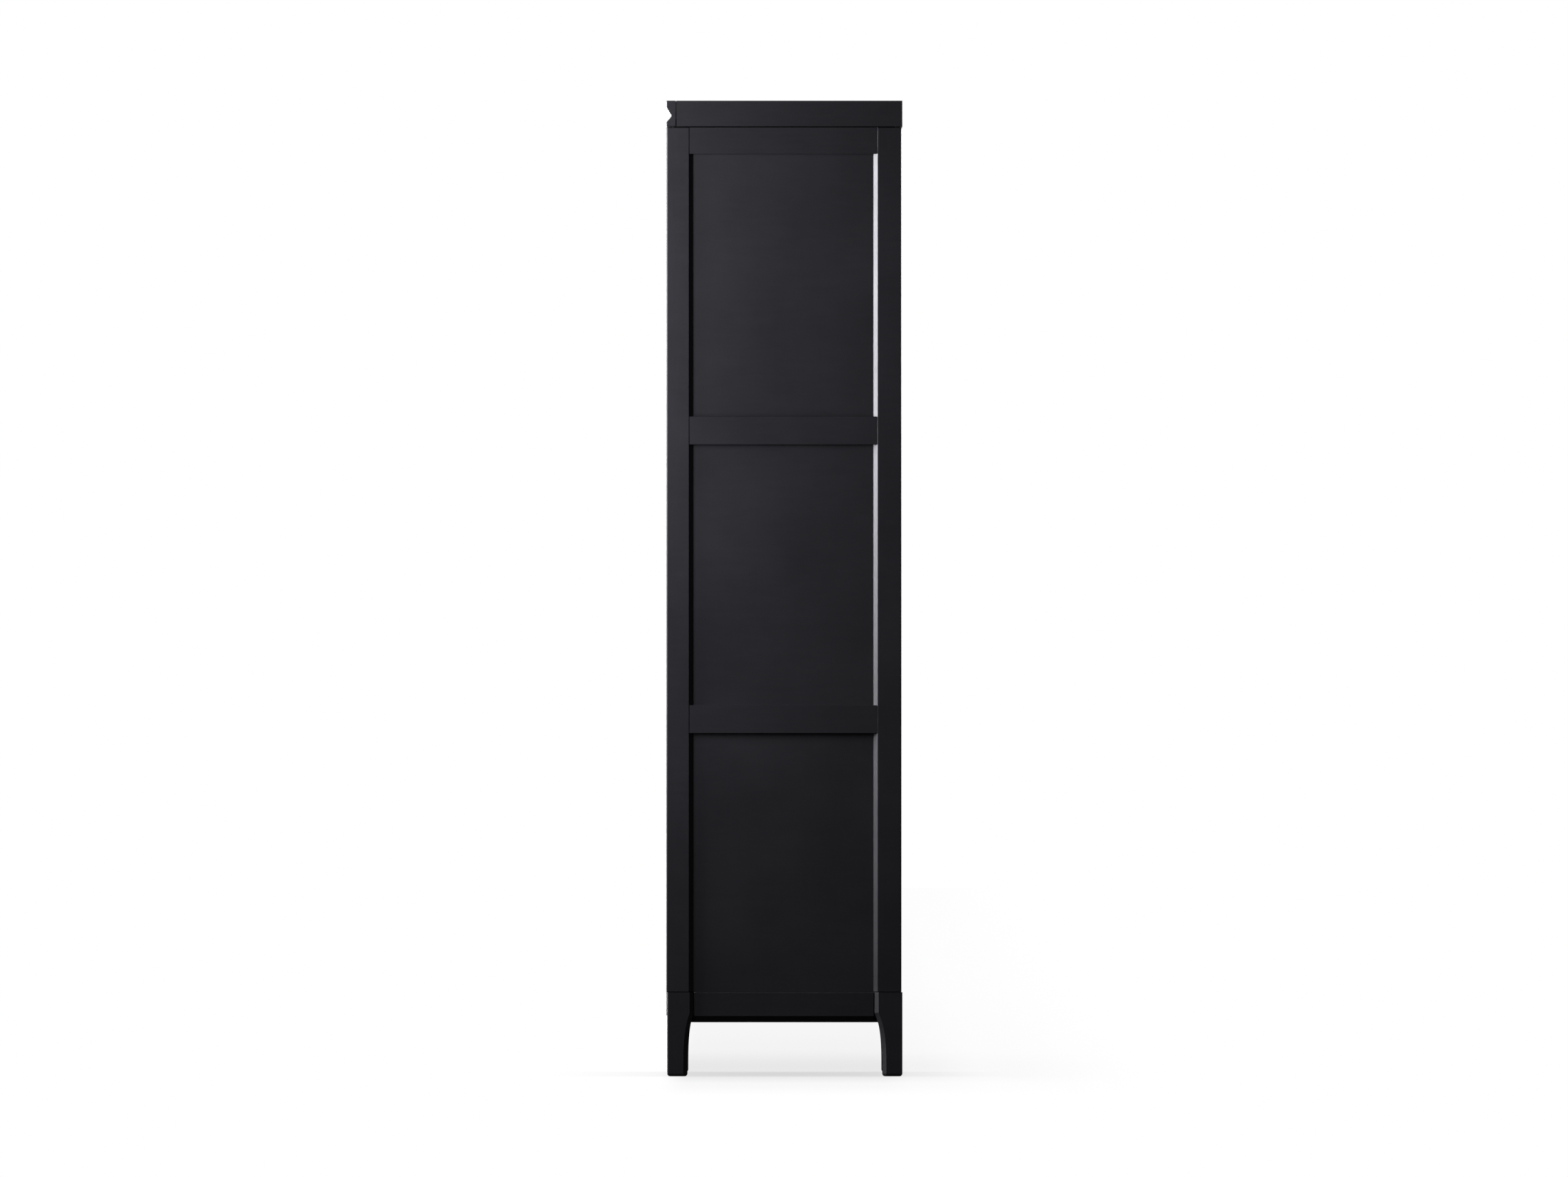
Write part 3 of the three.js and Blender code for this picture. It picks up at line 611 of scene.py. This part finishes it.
def addPlate(bm, matrix, spec):
    width, height, corner = spec["width"] / 2, spec["height"] / 2, spec["corner"]
    top, ease = spec["thickness"], spec["ease"]
    steps = ((0.0, 0.0), (top - ease, 0.0), (top - ease * 0.3, ease * 0.3), (top, ease))
    outlines = [roundedOutline(width, height, corner, z, inset) for z, inset in steps]
    closeStack(bm, [addRing(bm, matrix, outline) for outline in outlines])


def addScrewHead(bm, matrix, radius, lift):
    recess = fittingShape["recess"]
    wide, deep = recess["halfWidth"] * radius, recess["reach"] * radius
    cross = [(deep, -wide), (deep, wide), (wide, wide), (wide, deep), (-wide, deep), (-wide, wide),
             (-deep, wide), (-deep, -wide), (-wide, -wide), (-wide, -deep), (wide, -deep), (wide, -wide)]
    rings = [addRing(bm, matrix, circle(radius * share, lift * rise))
             for share, rise in fittingShape["dome"]]
    for low, high in zip(rings, rings[1:]):
        bridge(bm, low, high)
    bm.faces.new(list(reversed(rings[0])))
    mouth = addRing(bm, matrix, [(x, y, lift) for x, y in cross])
    taper, floor = recess["taper"], lift * recess["floor"]
    foot = addRing(bm, matrix, [(x * taper, y * taper, floor) for x, y in cross])
    bridge(bm, mouth, foot)
    bm.faces.new(foot)
    rim = rings[-1]
    edges = [bm.edges.get((ring[i - 1], ring[i])) for ring in (rim, mouth) for i in range(len(ring))]
    bmesh.ops.triangle_fill(bm, use_beauty=True, edges=edges)


def newPiece(name, bm, body, slotName):
    bmesh.ops.recalc_face_normals(bm, faces=bm.faces)
    mesh = bpy.data.meshes.new(name)
    bm.to_mesh(mesh)
    bm.free()
    mesh.shade_smooth()
    mesh.set_sharp_from_angle(angle=math.radians(fittingShape["sharpOver"]))
    mesh.materials.append(finishes[slotFinish[slotName]])
    piece = bpy.data.objects.new(name, mesh)
    bpy.context.scene.collection.objects.link(piece)
    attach(piece, body)


sides = {"left": -1, "right": 1}

hingeScrews = {"radius": 3.0, "lift": 0.7, "fromLeafBack": 5.7, "stagger": 2.2, "spacing": 27.0}


def makeHingeScrews():
    spec = hingeScrews
    caseFace = cadEdges("post_front_right")[0].x
    doorFace = cadEdges("door_right_hinge_stile")[1].x
    for side, sign in sides.items():
        for level in ("top", "middle", "bottom"):
            low, high = cadEdges("hinge_%s_%s_case_leaf" % (side, level))
            centre = (low.z + high.z) / 2
            for leaf, face, way in (("case", caseFace, -1), ("door", doorFace, 1)):
                bm = bmesh.new()
                for step in (-1, 0, 1):
                    stagger = spec["stagger"] / 2 * (1 if step == 0 else -1)
                    y = high.y - spec["fromLeafBack"] + stagger
                    at = spotAt(sign * face, y, centre + step * spec["spacing"], (sign * way, 0, 0))
                    twist = Matrix.Rotation(random.uniform(0, math.pi), 4, "Z")
                    addScrewHead(bm, at @ twist, spec["radius"], spec["lift"])
                body = "case" if leaf == "case" else "door_" + side
                newPiece("hinge_screws_%s_%s_%s" % (side, level, leaf), bm, body, "dark_steel")


shelfPins = {"fromPostFace": 10.5, "gap": 0.1, "drop": 3.3, "padIn": 5.4, "padDrop": 1.0,
             "profile": ((3.1, 0.0), (3.1, 0.8), (2.8, 1.1), (2.5, 1.2), (2.5, 8.4), (2.0, 9.0)),
             "pad": {"width": 7.0, "height": 8.0, "corner": 1.5, "thickness": 1.0, "ease": 0.3}}


def makeShelfPins():
    spec = shelfPins
    top = cadEdges("hat_shelf")[0].z - spec["gap"]
    frontPost, rearPost = cadEdges("post_front_right"), cadEdges("post_rear_right")
    for side, sign in sides.items():
        for end, y, way in (("front", frontPost[1].y, 1), ("rear", rearPost[0].y, -1)):
            bm = bmesh.new()
            x = sign * (frontPost[0].x + spec["fromPostFace"])
            addTurned(bm, spotAt(x, y, top - spec["drop"], (0, way, 0)), spec["profile"])
            addPlate(bm, spotAt(x, y + way * spec["padIn"], top - spec["padDrop"], (0, 0, 1)), spec["pad"])
            newPiece("shelf_pin_%s_%s" % (end, side), bm, "case", "plated_steel")


socketScrews = {"radius": 3.1, "lift": 1.3, "pitchRadius": 21.4, "flange": 4.0, "turns": (90, 210, 330)}


def makeSocketScrews():
    spec = socketScrews
    low, high = cadEdges("rod_socket_right")
    axis = (low + high) / 2
    face = high.x - spec["flange"]
    for side, sign in sides.items():
        bm = bmesh.new()
        for degrees in spec["turns"]:
            turn = math.radians(degrees)
            y = axis.y + spec["pitchRadius"] * math.cos(turn)
            z = axis.z + spec["pitchRadius"] * math.sin(turn)
            at = spotAt(sign * face, y, z, (-sign, 0, 0))
            twist = Matrix.Rotation(random.uniform(0, math.pi), 4, "Z")
            addScrewHead(bm, at @ twist, spec["radius"], spec["lift"])
        newPiece("rod_socket_screws_" + side, bm, "case", "plated_steel")


magnetPoles = {"x": 26.0, "pair": 4.6,
               "plate": {"width": 2.0, "height": 9.0, "corner": 0.4, "thickness": 0.3, "ease": 0.12},
               "screwX": 40.0, "screwBack": 6.0, "screwRadius": 2.6, "screwLift": 1.1}


def makeCatchParts():
    spec = magnetPoles
    low, high = cadEdges("magnet_catch")
    bm = bmesh.new()
    for sign in (-1, 1):
        for step in (-1, 1):
            x = sign * spec["x"] + step * spec["pair"]
            addPlate(bm, spotAt(x, low.y, (low.z + high.z) / 2, (0, -1, 0)), spec["plate"])
    newPiece("catch_poles", bm, "case", "plated_steel")
    bm = bmesh.new()
    for sign in (-1, 1):
        at = spotAt(sign * spec["screwX"], high.y - spec["screwBack"], low.z, (0, 0, -1))
        addScrewHead(bm, at, spec["screwRadius"], spec["screwLift"])
    newPiece("catch_screws", bm, "case", "plated_steel")


strikePlate = {"x": 26.0,
               "plate": {"width": 32.0, "height": 14.0, "corner": 2.0, "thickness": 0.9, "ease": 0.3},
               "screwOut": 11.5, "screwRadius": 2.2, "screwLift": 0.5}


def makeStrikePlates():
    spec = strikePlate
    low, high = cadEdges("magnet_catch")
    z = (low.z + high.z) / 2
    doorBack = cadEdges("door_right_meeting_stile")[1].y
    face = doorBack + spec["plate"]["thickness"]
    for side, sign in sides.items():
        bm = bmesh.new()
        addPlate(bm, spotAt(sign * spec["x"], doorBack, z, (0, 1, 0)), spec["plate"])
        for step in (-1, 1):
            at = spotAt(sign * spec["x"] + step * spec["screwOut"], face, z, (0, 1, 0))
            addScrewHead(bm, at, spec["screwRadius"], spec["screwLift"])
        newPiece("strike_plate_" + side, bm, "door_" + side, "plated_steel")


random.seed(4)
makeHingeScrews()
makeShelfPins()
makeSocketScrews()
makeCatchParts()
makeStrikePlates()
print("fittings added")
